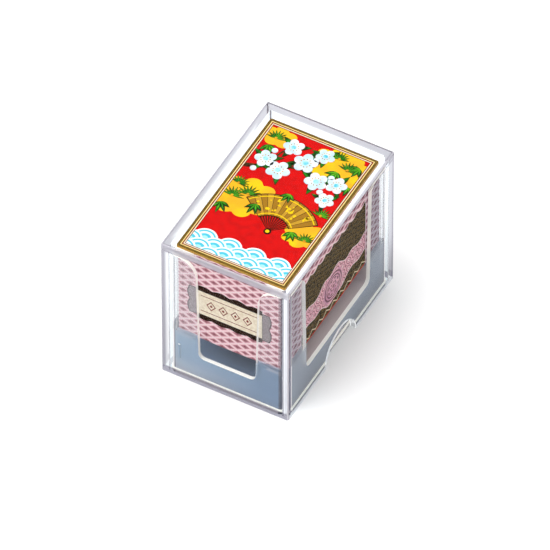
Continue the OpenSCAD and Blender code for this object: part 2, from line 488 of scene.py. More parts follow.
@dataclass(frozen=True)
class HazyPlastic(Finish):
    """Blue-tinged plastic of the tray: thin in the walls, and white with a painted glow at its cut
    edges.

    The long sides and the ends are the faces that pass square. A haze is a share of cover,
    and the clear upper walls start at beside_low to beside_high above the deck's seat.
    Painted light brightens the ends towards the left and the bottom, and the pocket plates;
    painted shade greys the long sides, the corners and the right of the ends.
    """

    wall_x: float
    wall_y: float
    face_y: float
    seat_z: float
    lip: float = 0.25
    square: float = 0.92
    upright: float = 0.5
    corner_tilt: float = 0.3
    rim_z: float = 1.65
    rim_low: float = 0.8
    beside_low: float = 1.4
    beside_high: float = 1.8
    beside_side: float = 1.5
    wall_haze: float = 0.13
    foot_haze: float = 0.42
    side_haze: float = 0.22
    side_shade: float = 0.55
    # haze of the corners that carry painted shade
    corner_haze: float = 0.37
    base_haze: float = 0.43
    # painted shade: how much the ends' haze thins towards the right
    shaded_end_clear: float = 0.6
    fade_from: float = -22.0
    fade_to: float = 20.0
    # painted light on the ends, towards the left and more towards the bottom
    painted_light_haze: float = 0.1
    painted_light_tone: float = 0.65
    painted_low_light: float = 0.6
    painted_light_top: float = 9.0
    floor_haze: float = 0.12
    # haze of the pocket plates, thick to hold their painted light
    pocket_haze: float = 0.7
    pocket_x: float = 11.8
    pocket_drop: float = 0.5
    edge_haze: float = 0.94
    # strength of the painted glow on cut edges and turned corners
    painted_edge_glow: float = 0.22
    cloud_haze: float = 0.06
    ior: float = 1.49
    rough: float = 0.22
    grain_rough: float = 0.16
    grain_depth: float = 0.008
    turn_from: float = 0.45
    turn_to: float = 0.65

    def shade(self, tree: ShaderTree) -> Value:
        """Adds the nodes: see-through haze by kind of face, with painted light, shade and glow, and
        a satin grain.

        Args:
            tree: where the nodes go.

        Returns:
            The shader.
        """
        spot = tree.place()
        x, y, z = tree.split(spot)
        nx, ny, nz = tree.facing()
        out = (abs(x) - self.wall_x) | (abs(y) - self.wall_y)
        in_side, in_end = abs(x) > self.wall_x, abs(y) > self.wall_y
        bead = (abs(y) > self.face_y) & (z > self.rim_z) & (abs(nz) < self.upright)
        long_side = (abs(nx) > self.square) & in_side
        end = ((abs(ny) > self.square) & in_end) | bead
        corner = in_side & in_end & (abs(nz) < self.corner_tilt)
        wall = (long_side | end | corner) & ((z > self.rim_z) | (z < self.rim_low))
        deck_floor = ~(out > self.lip) & ~wall
        pocket = (deck_floor & (nz > -self.upright) & (abs(x) > self.pocket_x)
                  & (z < self.seat_z - self.pocket_drop))
        beside = (z - self.beside_side * long_side).rise(
            self.seat_z + self.beside_low, self.seat_z + self.beside_high)
        base = end & (z < self.rim_low)
        # fade goes from 0 at the left of each end, seen from outside, to 1 at its right
        fade = (x * (2 * (y < 0) - 1)).rise(self.fade_from, self.fade_to)
        # painted light: the ends turn lighter and hazier towards the left and the bottom
        painted_light = end & ~fade & ~beside
        painted_low_light = self.painted_low_light * painted_light * ~z.rise(0.0, self.painted_light_top)
        away = tree.slant().rise(self.turn_from, self.turn_to)

        foot_haze = self.foot_haze + self.side_haze * long_side
        # painted shade: the ends' haze thins towards the right, so less lit haze veils it
        wall_haze = self.wall_haze * (1 - self.shaded_end_clear * (end & fade))
        low = (foot_haze + (wall_haze - foot_haze) * beside + self.corner_haze * corner
               + self.base_haze * base + self.painted_light_haze * (painted_light + 2 * painted_low_light))
        haze = (self.edge_haze + (low - self.edge_haze) * wall
                + (self.floor_haze - self.edge_haze) * deck_floor
                + (self.pocket_haze - self.floor_haze) * pocket)
        tone = tree.paint(
            Ink.HAZE_EDGE,
            (wall | deck_floor, Ink.HAZE),
            # painted shade: the long sides take a greyer tone than the ends
            (wall & long_side, Ink.SMOKE),
            # painted light on the left and low parts of the ends
            (wall & self.painted_light_tone * painted_light, Ink.FROST),
            (wall & painted_low_light, Ink.MILK),
            (wall & base, Ink.MILK),
            ((wall | deck_floor) & beside, Ink.MILK),
            # painted shade and light: the round corners are dark grey where they face the view, and
            # milky where they turn away, where they also take the painted glow
            (wall & corner, tree.mix(away, Ink.PAINTED_RIM_SHADE, Ink.MILK)),
            # painted light: the pocket plates in the deck's shade get a light warm tone
            (pocket, Ink.PAINTED_POCKET_LIGHT))
        cloud = tree.noise(spot, scale=0.09, detail=3.0)
        grain = tree.noise(spot, scale=2.2)
        # painted glow: cut edges and corners turned from the view give off light of their own
        no_painted_glow = (wall | deck_floor) & ~(corner & away)
        milk = tree.value("BsdfPrincipled", inputs={
            "Base Color": tone, "IOR": self.ior,
            "Roughness": self.rough + self.grain_rough * grain,
            "Alpha": haze + self.cloud_haze * (cloud - 0.5),
            "Emission Color": tree.mix(no_painted_glow, Ink.HAZE_EDGE, Ink.BLACK),
            "Emission Strength": self.painted_edge_glow,
            "Normal": tree.bump(grain, self.grain_depth)})
        lamps = tree.ray("Shadow", "Diffuse")
        open_wall = lamps * (z > self.seat_z) * (1 - self.side_shade * long_side)
        foot = tree.blend(lamps, milk, tree.window(Ink.SHADE))
        return tree.blend(open_wall, foot, tree.window(Ink.CLEAR))


@dataclass(frozen=True)
class Stock:
    """How a paper or a board takes the light."""

    rough: float
    uneven: float
    gloss: float
    depth: float

    def sheet(self, tree: ShaderTree, colour: Value, grain: Value,
              relief: Value | None = None) -> Value:
        """Adds a sheet of this stock.

        Args:
            tree: where the nodes go.
            colour: what is printed on it.
            grain: noise that makes its roughness uneven.
            relief: height of its surface, where that isn't the grain.

        Returns:
            The shader.
        """
        return tree.value("BsdfPrincipled", inputs={
            "Base Color": colour,
            "Roughness": self.rough + self.uneven * grain,
            "Specular IOR Level": self.gloss,
            "Normal": tree.bump(relief or grain, self.depth)})


COATED = Stock(rough=0.34, uneven=0.12, gloss=0.12, depth=0.006)
COATED_TOOTH = 7.0


@dataclass(frozen=True)
class TitleBoard(Finish):
    """Title card: gilt rim and edges, ruled border, red ground and a sea of scale waves."""

    half_w: float
    half_l: float
    gilt: float = 0.62
    rules: tuple[tuple[float, Ink], ...] = (
        (0.16, Ink.DARK_BROWN), (0.34, Ink.GILT_LINE), (0.36, Ink.DEEP_RED),
        (0.3, Ink.CREAM), (0.22, Ink.DEEP_RED))
    wave_r: float = 3.9
    wave_rows: int = 3
    metal: float = 0.9
    foil_polish: float = 0.06

    @property
    def border(self) -> float:
        """Width of the whole border."""
        return self.gilt + sum(width for width, _ in self.rules)

    def shade(self, tree: ShaderTree) -> Value:
        """Adds the nodes: printed ground inside ruled lines, with foil round them.

        Args:
            tree: where the nodes go.

        Returns:
            The shader.
        """
        spot = tree.place()
        x, y, _ = tree.split(spot)
        nz = tree.facing()[2]
        inset = (self.half_w - abs(x)) & (self.half_l - abs(y))
        mottle = tree.noise(spot, scale=0.5, detail=4.0)
        tooth = tree.noise(spot, COATED_TOOTH)

        base_y = self.border - self.half_l
        share, sea = scale_waves(x, y - base_y, self.wave_r, self.wave_rows)
        water = tree.paint(
            Ink.CYAN,
            (share.under(0.3, 0.02), Ink.PALE_CYAN),
            (abs(share - 0.62).under(0.1, 0.02), Ink.WHITE),
            (share.rise(0.84, 0.88), Ink.WHITE))
        ruled = tree.paint(tree.mix(mottle.rise(0.35, 0.75), Ink.RED, Ink.WORN_RED), (sea, water))
        reach = self.border
        for width, ink in reversed(self.rules):
            ruled = tree.mix(inset.under(reach, 0.03), ruled, ink)
            reach -= width
        foil = inset.under(self.gilt, 0.02) | (nz < 0.5)
        gold = tree.mix(tree.noise(spot, scale=1.3, detail=3.0), Ink.BROWN, Ink.GOLD)
        return tree.value("BsdfPrincipled", inputs={
            "Base Color": tree.mix(foil, ruled, gold),
            "Metallic": self.metal * foil,
            "Roughness": COATED.rough + COATED.uneven * tooth - self.foil_polish * foil,
            "Specular IOR Level": COATED.gloss,
            "Normal": tree.bump(tooth, COATED.depth)})


@dataclass(frozen=True)
class PrintInk(Finish):
    """A printed layer of one ink, a little uneven, with a second tone in places."""

    ink: Ink
    second: Ink
    patch: float = 0.18

    def shade(self, tree: ShaderTree) -> Value:
        """Adds the nodes: two tones by soft noise over the paper's tooth.

        Args:
            tree: where the nodes go.

        Returns:
            The shader.
        """
        spot = tree.place()
        tone = tree.noise(spot, self.patch, detail=3.0).rise(0.35, 0.65)
        colour = tree.mix(tone, self.ink, self.second)
        return COATED.sheet(tree, colour, tree.noise(spot, COATED_TOOTH))


@dataclass(frozen=True)
class WrapPaper(Finish):
    """Printed wrapping paper: lozenge lattice, with banded panels on the long sides."""

    low: float
    label_z: float
    medal_y: float
    stock: Stock = Stock(rough=0.5, uneven=0.2, gloss=0.03, depth=0.02)
    turned: float = 0.7
    worn: float = 0.05
    line: float = 0.35
    soft: float = 0.05
    panel_y: float = 18.9
    panel_line: float = 0.3
    plaque_w: float = 21.2
    plaque_h: float = 13.9
    ear_w: float = 27.2
    ear_h: float = 11.2
    lobe_w: float = 5.6
    lobe_h: float = 0.7
    lozenge_w: float = 5.0
    lozenge_h: float = 2.7
    hem: float = 0.4
    stripe: float = 0.2
    stripe_z: float = 0.75
    tooth_w: float = 4.2
    tooth_h: float = 0.8
    tooth_z: float = 1.3
    scale_r: float = 1.9
    scale_rows: int = 99
    curl_w: float = 3.6
    curl_h: float = 3.3
    curl_pitch: float = 0.86
    curl_ripple: float = 0.9
    ripple_w: float = 8.6
    swell_from: float = 3.0
    swell_to: float = 9.0
    scroll_z: float = 6.6
    scroll_swell: float = -2.6
    scroll_ripple: float = 0.45
    scales_z: float = 13.45
    scales_swell: float = 2.2
    scales_ripple: float = 0.6
    lattice_z: float = 26.9
    scallop_w: float = 4.6
    scallop_h: float = 1.1

    def lattice(self, tree: ShaderTree, along: Value, up: Value) -> Value:
        """Returns the colour of the lozenge lattice.

        Args:
            tree: where the nodes go.
            along: millimetres along the face.
            up: millimetres up the face.

        Returns:
            Rose lozenges in pale lines on pink.
        """
        lean, climb = along / self.lozenge_w, up / self.lozenge_h
        size = (lean + climb).zigzag(1) | (lean - climb).zigzag(1)
        return tree.paint(
            Ink.PINK,
            (size.rise(0.38, 0.43), Ink.PALE_PINK),
            (size.under(0.29, 0.03), Ink.ROSE),
            (size.under(0.13, 0.04), Ink.DARK_ROSE))

    def panel(self, tree: ShaderTree, along: Value, up: Value) -> Value:
        """Returns the colour of a long side's bands.

        Args:
            tree: where the nodes go.
            along: millimetres along the side.
            up: millimetres above the deck's bottom.

        Returns:
            Scalloped lattice, dark scales, a scroll and a zigzag, from the top down.
        """
        ripple = along.wave(self.ripple_w)
        share, _ = scale_waves(along, up, self.scale_r, self.scale_rows)
        flat = tree.value("CombineXYZ", inputs={0: along, 1: up})
        fleck = tree.noise(flat, scale=1.1, detail=3.0)
        scales = tree.paint(
            Ink.OLIVE,
            (abs(share - 0.72).under(0.13, 0.08), Ink.PALE_OLIVE),
            (share.rise(0.86, 0.92) | fleck.rise(0.5, 0.6), Ink.DARK_OLIVE))

        curl_x = along.zigzag(self.curl_w)
        curl_y = (up + self.curl_ripple * ripple).zigzag(self.curl_h)
        reach = (curl_x * curl_x + curl_y * curl_y).root()
        scroll = tree.paint(
            Ink.PINK,
            (reach.zigzag(self.curl_pitch).under(0.15, 0.06), Ink.DARK_ROSE),
            (reach.under(0.42, 0.1), Ink.PALE_PINK))

        teeth = self.tooth_z + self.tooth_h * along.zigzag(self.tooth_w)
        bands = tree.paint(
            scales,
            (abs(up - teeth).under(self.stripe, 0.06), Ink.CREAM),
            (abs(up - self.stripe_z).under(self.stripe, self.soft), Ink.RED),
            (up.under(self.hem, self.soft), Ink.PALE_PINK))
        swell = ~abs(along - self.medal_y).rise(self.swell_from, self.swell_to)
        scallops = self.scallop_h * abs(along.wave(2 * self.scallop_w))
        scroll_edge = self.scroll_z + self.scroll_swell * swell + self.scroll_ripple * ripple
        scales_edge = self.scales_z + self.scales_swell * swell + self.scales_ripple * ripple
        for start, fill in (
                (scroll_edge, scroll), (scales_edge, scales),
                (self.lattice_z - scallops, self.lattice(tree, along, up))):
            bands = tree.paint(
                bands,
                (up.over(start, self.soft), Ink.PALE_PINK),
                (up.over(start + self.line, self.soft), fill))
        return bands

    def plaque(self, tree: ShaderTree, ground: Value, x: Value, z: Value) -> Value:
        """Returns the colour of the front end with the plaque that the label lies on.

        Args:
            tree: where the nodes go.
            ground: the colour round the plaque.
            x: millimetres across the end.
            z: millimetres above the table.

        Returns:
            The ground under a dark lobed middle, with a grey ear at each end of it.
        """
        wide, tall = abs(x), abs(z - self.label_z)
        lobes_x, lobes_z = (self.lobe_h * abs(part.wave(2 * self.lobe_w)) for part in (x, tall))
        middle = (wide.under(self.plaque_w / 2)
                  & (tall - lobes_x).under(self.plaque_h / 2 - self.lobe_h))
        out = (wide - lobes_z - self.ear_w / 2 + self.lobe_h) | (tall - self.ear_h / 2)
        return tree.paint(
            ground,
            (out.under(0.0), Ink.EAR_LINE),
            (out.under(-self.line), Ink.EAR),
            (middle, Ink.PLAQUE))

    def shade(self, tree: ShaderTree) -> Value:
        """Adds the nodes: each face takes its own print by the way it faces.

        Args:
            tree: where the nodes go.

        Returns:
            The shader.
        """
        spot = tree.place()
        x, y, z = tree.split(spot)
        nx, ny, _ = tree.facing()
        along = y * (2 * (nx > 0) - 1)
        end = self.lattice(tree, x, z)
        side = abs(nx) > self.turned
        printed = tree.paint(
            self.lattice(tree, x, y),
            (abs(ny) > self.turned, end),
            (ny < -self.turned, self.plaque(tree, end, x, z)),
            (side, self.lattice(tree, along, z)),
            (side & abs(y).under(self.panel_y + self.panel_line), Ink.PALE_PINK),
            (side & abs(y).under(self.panel_y), self.panel(tree, along, z - self.low)))
        fibre = tree.noise(spot, scale=1.6, detail=5.0)
        worn = tree.mix(self.worn * fibre.rise(0.4, 0.8), printed, Ink.CREAM)
        return self.stock.sheet(tree, worn, tree.noise(spot, scale=8.0), fibre)


@dataclass(frozen=True)
class LabelPaper(Finish):
    """Cream laid paper of the label, with a row of small lozenges in one ink."""

    middle_z: float
    stock: Stock = Stock(rough=0.7, uneven=0.15, gloss=0.25, depth=0.015)
    pitch: float = 3.9
    count: int = 4
    ring: float = 1.35
    dot: float = 0.5
    squat: float = 0.8
    rule_x: float = 9.2
    rule_z: float = 3.1
    laid_pitch: float = 0.5
    laid: float = 0.15

    def shade(self, tree: ShaderTree) -> Value:
        """Adds the nodes: paper fibres, faint laid lines and the row of ornaments.

        Args:
            tree: where the nodes go.

        Returns:
            The shader.
        """
        spot = tree.place()
        x, _, z = tree.split(spot)
        up = abs(z - self.middle_z)
        row = self.pitch * self.count / 2
        reach = (x + row).zigzag(self.pitch) + self.squat * up
        lozenge = abs(reach - self.ring).under(0.2, 0.05) | reach.under(self.dot, 0.05)
        ornament = lozenge & abs(x).under(row)
        rules = abs(up - self.rule_z).under(0.13, 0.04) & abs(x).under(self.rule_x)
        fibre = tree.noise(spot, scale=1.1, detail=5.0)
        paper = tree.mix(fibre.rise(0.3, 0.75), Ink.LABEL, Ink.LABEL_FIBRE)
        printed = tree.mix(ornament | rules, paper, Ink.LABEL_INK)
        return self.stock.sheet(tree, printed, fibre, fibre + self.laid * z.wave(self.laid_pitch))


@dataclass(frozen=True)
class CardBoard(Finish):
    """Layered card: dark red back paper turned over the edges, and a cream face."""

    lip_x: float
    lip_y: float
    stock: Stock = Stock(rough=0.5, uneven=0.15, gloss=0.35, depth=0.012)

    def shade(self, tree: ShaderTree) -> Value:
        """Adds the nodes: a pale face inside the lip and fibres all over.

        Args:
            tree: where the nodes go.

        Returns:
            The shader.
        """
        spot = tree.place()
        x, y, _ = tree.split(spot)
        nz = tree.facing()[2]
        face = (nz > 0.5) & abs(x).under(self.lip_x) & abs(y).under(self.lip_y)
        fibre = tree.noise(spot, scale=1.4, detail=4.0)
        back = tree.mix(fibre.rise(0.3, 0.8), Ink.BOARD_BACK, Ink.DEEP_RED)
        return self.stock.sheet(tree, tree.mix(face, back, Ink.BOARD_FACE), fibre)


@dataclass(frozen=True)
class FloorPaper(Finish):
    """Pale seamless paper under the case, kept white where no shadow falls."""

    lift: float = 0.05
    rough: float = 0.85
    uneven: float = 0.1
    gloss: float = 0.1

    def shade(self, tree: ShaderTree) -> Value:
        """Adds the nodes: matt paper with a little glow for the rays that see it.

        Args:
            tree: where the nodes go.

        Returns:
            The shader.
        """
        seen = tree.ray("Camera", "Glossy", "Transmission")
        return tree.value("BsdfPrincipled", inputs={
            "Base Color": Ink.FLOOR,
            "Roughness": self.rough + self.uneven * tree.noise(tree.place(), scale=0.3),
            "Specular IOR Level": self.gloss,
            "Emission Color": tree.mix(seen, Ink.BLACK, Ink.FULL_WHITE),
            "Emission Strength": self.lift})


def scale_waves(along: Value, up: Value, radius: float, rows: int) -> tuple[Value, Value]:
    """Works out overlapping round scales, each row in front of the one above it.

    Args:
        along: millimetres along the rows.
        up: millimetres up from the lowest row's centres.
        radius: radius of a scale.
        rows: number of rows.

    Returns:
        The distance from the centre of the scale in front, as a share of its radius, and the
        mask of all scales.
    """
    step = radius / 2
    row = (up / step).floor()
    far, hits = [], []
    for back in (1, 0):
        this_row = row - back
        across = ((along + radius * (this_row % 2)) % (2 * radius)) - radius
        rise = up - this_row * step
        far.append((across * across + rise * rise).root() / radius)
        hits.append((far[-1] < 1) & (this_row < rows))
    return far[1] + hits[0] * (far[0] - far[1]), hits[0] | hits[1]


class Face(Enum):
    """Printed faces as frames: local X runs along the face, Y up it and Z out of it."""

    TOP = ((1, 0, 0), (0, 1, 0), (0, 0, 1))
    RIGHT = ((0, 1, 0), (0, 0, 1), (1, 0, 0))
    LEFT = ((0, -1, 0), (0, 0, 1), (-1, 0, 0))

    def frame(self, origin: Vector) -> Matrix:
        """Returns the matrix from millimetres on the face, at an origin in metres."""
        turn = Matrix(self.value).transposed().to_4x4()
        return Matrix.Translation(origin) @ turn @ Matrix.Scale(MM, 4)


Outline = Callable[[float], float]
Ring = list[bmesh.types.BMVert]


def disc(_: float) -> float:
    """Gives the radius of a round outline, the same at every angle."""
    return 1.0


def lobes(count: int, depth: float, start: float = 0.0) -> Outline:
    """Makes an outline of round lobes.

    Args:
        count: number of lobes.
        depth: how far the outline draws in between them.
        start: angle of the first gap.

    Returns:
        The outline, with a radius of 1 at the lobes' tips.
    """
    def radius(angle: float) -> float:
        """Gives the radius at an angle."""
        return 1 - depth * (1 - abs(math.sin(count * (angle - start) / 2)) ** 0.8)
    return radius


def link(name: str, data: bpy.types.ID) -> bpy.types.Object:
    """Puts a new object into the scene.

    Args:
        name: the object's name.
        data: its mesh, lamp or camera.

    Returns:
        The object.
    """
    made = bpy.data.objects.new(name, data)
    bpy.context.scene.collection.objects.link(made)
    return made


def link_sheet(name: str, sheet: bmesh.types.BMesh, finish: Finish) -> bpy.types.Object:
    """Makes an object from a bmesh, which is used up.

    Args:
        name: the object's name.
        sheet: its shape, in metres.
        finish: what it is made of.

    Returns:
        The object.
    """
    bmesh.ops.recalc_face_normals(sheet, faces=sheet.faces[:])
    mesh = bpy.data.meshes.new(name)
    sheet.to_mesh(mesh)
    sheet.free()
    mesh.materials.append(finish.material())
    return link(name, mesh)


@dataclass
class PrintLayer:
    """Flat shapes of one ink on one face, raised a hair above the paper."""

    name: str
    finish: Finish
    level: int
    step: float = 0.016

    def __post_init__(self) -> None:
        """Starts with an empty sheet."""
        self.sheet = bmesh.new()

    def ring(self, segments: int) -> Ring:
        """Adds a filled ring of radius 1 and returns its points."""
        return bmesh.ops.create_circle(
            self.sheet, cap_ends=True, segments=segments, radius=1)["verts"]

    def put(self, ring: Ring, x: float, y: float, turn: float, *size: float) -> None:
        """Scales a ring, turns it by an angle in degrees and moves it to its place.

        Args:
            ring: its points.
            x: place across the face.
            y: place up the face.
            turn: the angle.
            size: its scale along its own X and Y.
        """
        placed = (Matrix.Translation((x, y, 0)) @ Matrix.Rotation(math.radians(turn), 4, "Z")
                  @ Matrix.Diagonal((*size, 1, 1)))
        bmesh.ops.transform(self.sheet, matrix=placed, verts=ring)

    def shape(self, x: float, y: float, size: float, outline: Outline, segments: int,
              turn: float = 0.0, squeeze: float = 1.0) -> None:
        """Adds one shape that is filled inside an outline.

        Args:
            x: place of its middle across the face.
            y: place of its middle up the face.
            size: its radius along its own X.
            outline: gives its radius, as a share of size, at each angle.
            segments: points round it.
            turn: degrees that it is turned by.
            squeeze: its height as a share of its width.
        """
        ring = self.ring(segments)
        for vert in ring:
            vert.co *= outline(math.atan2(vert.co.y, vert.co.x))
        self.put(ring, x, y, turn, size, size * squeeze)

    def leaf(self, x: float, y: float, length: float, width: float, turn: float) -> None:
        """Adds a pointed leaf.

        Args:
            x: place of its stalk across the face.
            y: place of its stalk up the face.
            length: from its stalk to its tip.
            width: at its widest.
            turn: angle that it runs out at, in degrees.
        """
        ring = self.ring(16)
        for vert in ring:
            share = (vert.co.x + 1) / 2
            side = math.copysign(1, vert.co.y) if abs(vert.co.y) > 1e-4 else 0
            swell = math.sin(math.pi * share ** 0.8)
            vert.co = Vector((share * length, side * width / 2 * swell, 0))
        self.put(ring, x, y, turn, 1, 1)

    def ribbon(self, points: Sequence[tuple[float, float]], start_w: float, end_w: float,
               steps: int = 24) -> None:
        """Adds a tapering stroke along a smooth path.

        Args:
            points: four control points of the path.
            start_w: width where it starts.
            end_w: width where it ends.
            steps: segments along it.
        """
        a, b, c, d = (Vector(p) for p in points)
        grid = bmesh.ops.create_grid(self.sheet, x_segments=steps, y_segments=1, size=0.5)["verts"]
        for vert in grid:
            t = vert.co.x + 0.5
            s = 1 - t
            spot = s ** 3 * a + 3 * s ** 2 * t * b + 3 * s * t * t * c + t ** 3 * d
            run = (s ** 2 * (b - a) + 2 * s * t * (c - b) + t * t * (d - c)).normalized()
            off = vert.co.y * (start_w + (end_w - start_w) * t)
            vert.co = Vector((spot.x - run.y * off, spot.y + run.x * off, 0))

    def sector(self, x: float, y: float, inner: float, outer: float, start: float, sweep: float,
               steps: int) -> None:
        """Adds a sector of a ring.

        Args:
            x: place of its centre across the face.
            y: place of its centre up the face.
            inner: inner radius.
            outer: outer radius.
            start: angle where it starts, in degrees.
            sweep: angle that it covers, in degrees.
            steps: segments along it.
        """
        first = math.radians(start)
        ends = [self.sheet.verts.new((x + r * math.cos(first), y + r * math.sin(first), 0))
                for r in (inner, outer)]
        edge = self.sheet.edges.new(ends)
        bmesh.ops.spin(self.sheet, geom=[*ends, edge], cent=(x, y, 0), axis=(0, 0, 1),
                       angle=math.radians(sweep), steps=steps, use_merge=False)

    def trim(self, half_w: float, half_l: float) -> None:
        """Cuts the shapes off at the edges of a centred panel.

        Args:
            half_w: half the panel's width.
            half_l: half its length.
        """
        for normal, reach in (((1, 0, 0), half_w), ((-1, 0, 0), half_w),
                              ((0, 1, 0), half_l), ((0, -1, 0), half_l)):
            everything = [*self.sheet.verts, *self.sheet.edges, *self.sheet.faces]
            bmesh.ops.bisect_plane(self.sheet, geom=everything, plane_co=Vector(normal) * reach,
                                   plane_no=normal, clear_outer=True)

    def build(self, frame: Matrix, body: str, slot: str) -> None:
        """Raises the shapes into thin solids and puts them on their face.

        Args:
            frame: matrix from the sheet's millimetres to the model.
            body: the body that the layer rides on.
            slot: the record's slot that its finish belongs to; not used.
        """
        lifted = bmesh.ops.extrude_face_region(self.sheet, geom=self.sheet.faces[:],
                                               use_keep_orig=True)["geom"]
        top = [part for part in lifted if isinstance(part, bmesh.types.BMVert)]
        bmesh.ops.translate(self.sheet, verts=top, vec=(0, 0, self.step * (self.level + 1)))
        bmesh.ops.transform(self.sheet, matrix=frame, verts=self.sheet.verts[:])
        made = link_sheet(self.name, self.sheet, self.finish)
        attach(made, body)
        log.info("%s: %d faces on %s", self.name, len(made.data.polygons), body)


def dress(frame: Frame, finish: Finish, *nodes: str) -> None:
    """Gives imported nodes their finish.

    Args:
        frame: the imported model.
        finish: what the nodes are made of.
        nodes: their names.
    """
    material = finish.material()
    for name in nodes:
        slots = frame["nodes"][name].data.materials
        slots.clear()
        slots.append(material)
    log.info("%s: on %d packed nodes", finish.name, len(nodes))


@dataclass
class Case:
    """The plastic case: a hazy tray and a clear cover."""

    frame: Frame
    wall_margin: float = 0.2
    foot_step: float = 0.28

    def build(self) -> None:
        """Dresses the tray and the cover."""
        tray_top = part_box("case_tray")[1] / MM
        deck_low, deck_high = (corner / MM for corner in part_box("deck_wrapper"))
        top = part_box("case_cover")[1] / MM
        dress(self.frame, HazyPlastic(
            name="hazy_tray", wall_x=deck_high.x + self.wall_margin,
            wall_y=deck_high.y + self.wall_margin, face_y=tray_top.y - self.foot_step,
            seat_z=deck_low.z), "case_tray")
        dress(self.frame, ClearPlastic(
            name="clear_cover", half_x=top.x, half_y=top.y, high=top.z), "case_cover")


@dataclass
class TitleCard:
    """The title card with its printed picture of a fan, blossoms, pines and a sea."""

    frame: Frame
    seed: int = 12
    fan_x: float = 2.6
    fan_y: float = -11.0
    fan_r: float = 14.2
    fan_inner: float = 6.2
    fan_start: float = 38.0
    fan_sweep: float = 104.0
    fan_folds: int = 13
    fan_steps: int = 40
    fan_line: float = 0.3
    fan_line_turn: float = 1.2
    fan_rib_turn: float = 4.4
    fan_crease_turn: float = 0.7
    fan_rule: float = 0.16
    fan_flecks: int = 22

    def __post_init__(self) -> None:
        """Makes the layers, from the lowest ink to the highest."""
        inks = {
            "cloud": PrintInk("cloud_yellow", Ink.YELLOW, Ink.ORANGE, 0.12),
            "outline": PrintInk("outline_brown", Ink.DARK_BROWN, Ink.DARK_BROWN),
            "fan": PrintInk("fan_brown", Ink.BROWN, Ink.BROWN),
            "fold": PrintInk("fold_gold", Ink.FOLD, Ink.FOLD),
            "crease": PrintInk("crease_brown", Ink.DARK_BROWN, Ink.DARK_BROWN),
            "fleck": PrintInk("fleck_yellow", Ink.YELLOW, Ink.YELLOW),
            "branch": PrintInk("branch_brown", Ink.DARK_BROWN, Ink.OLIVE, 0.5),
            "needle": PrintInk("needle_green", Ink.LEAF, Ink.DARK_LEAF, 0.4),
            "sprig": PrintInk("sprig_green", Ink.LIME, Ink.LEAF, 0.4),
            "petal_edge": PrintInk("petal_shade", Ink.PETAL_SHADE, Ink.PALE_PINK, 0.4),
            "petal": PrintInk("petal_white", Ink.WHITE, Ink.PETAL_SHADE, 0.35),
            "heart": PrintInk("heart_cyan", Ink.CYAN, Ink.PALE_CYAN, 0.6),
            "stamen": PrintInk("stamen_gold", Ink.ORANGE, Ink.BROWN, 0.6),
        }
        self.layers = {key: PrintLayer(f"title_{ink.name}", ink, level)
                       for level, (key, ink) in enumerate(inks.items())}

    def leaf(self, x: float, y: float, turn: float, **sizes: tuple[float, float]) -> None:
        """Prints one leaf in several inks.

        Args:
            x: place of its stalk across the card.
            y: place of its stalk along the card.
            turn: angle that it runs out at, in degrees.
            sizes: its length and width in each layer.
        """
        for layer, (length, width) in sizes.items():
            self.layers[layer].leaf(x, y, length, width, turn)

    def clouds(self) -> None:
        """Prints the mist clouds."""
        for x, y, size, squeeze, count, turn in (
                (-9.8, -2.6, 10.0, 0.78, 9, 14), (9.4, 19.8, 10.0, 0.74, 9, -8),
                (12.6, -7.6, 6.6, 0.74, 7, 20), (-11.8, 22.4, 5.8, 0.66, 7, 0)):
            self.layers["cloud"].shape(x, y, size, lobes(count, 0.2, 0.3), 96, turn, squeeze)

    def fan(self) -> None:
        """Prints the folding fan: outline, folds, ribs, flecks of leaf and its pivot."""
        x, y, inner, outer = self.fan_x, self.fan_y, self.fan_inner, self.fan_r
        start, sweep, steps = self.fan_start, self.fan_sweep, self.fan_steps
        outline, fleck = self.layers["outline"], self.layers["fleck"]
        outline.sector(x, y, inner - self.fan_line, outer + self.fan_line,
                       start - self.fan_line_turn, sweep + 2 * self.fan_line_turn, steps)
        self.layers["fan"].sector(x, y, inner, outer, start, sweep, steps)
        fold = sweep / self.fan_folds
        for n in range(self.fan_folds):
            middle = start + fold * (n + 0.5)
            outline.sector(x, y, 0.5, inner, middle - self.fan_rib_turn / 2, self.fan_rib_turn, 2)
            if n % 2:
                self.layers["fold"].sector(
                    x, y, inner + 0.1, outer - 0.1, start + fold * n, fold, 3)
                for crease in (start + fold * n, start + fold * (n + 1)):
                    self.layers["crease"].sector(
                        x, y, inner, outer, crease - self.fan_crease_turn / 2,
                        self.fan_crease_turn, 1)
        for radius in (inner + 0.7, outer - 0.8):
            fleck.sector(x, y, radius - self.fan_rule, radius + self.fan_rule, start + 0.6,
                         sweep - 1.2, steps)
        chance = random.Random(self.seed)
        for _ in range(self.fan_flecks):
            angle = math.radians(start + 5 + (sweep - 10) * chance.random())
            radius = inner + 1.7 + (outer - inner - 3.6) * chance.random()
            fleck.shape(
                x + radius * math.cos(angle), y + radius * math.sin(angle),
                0.35 + 0.55 * chance.random(), disc, chance.choice((3, 4, 5)),
                360 * chance.random(), 0.7)
        outline.shape(x, y, 1.15, disc, 24)
        fleck.shape(x, y, 0.6, disc, 20)

    def blossom(self, x: float, y: float, size: float, turn: float) -> None:
        """Prints one five-petalled blossom with its leaves behind it.

        Args:
            x: place across the card.
            y: place along the card.
            size: radius of the petals.
            turn: degrees that it is turned by.
        """
        petals = lobes(5, 0.34)
        length, width, ring = 1.62 * size, 0.5 * size, 0.44 * size
        for lean in (turn + 20, turn + 145, turn + 250):
            self.leaf(x, y, lean, branch=(length + 0.3, width + 0.45), needle=(length, width))
        self.layers["petal_edge"].shape(x, y, size + 0.2, petals, 80, turn)
        self.layers["petal"].shape(x, y, size, petals, 80, turn)
        for n in range(10):
            angle = math.radians(turn + 36 * n)
            self.layers["stamen"].shape(
                x + ring * math.cos(angle), y + ring * math.sin(angle),
                0.045 * size + 0.05, disc, 8)
        self.layers["heart"].shape(x, y, 0.25 * size, lobes(5, 0.2), 40, turn)

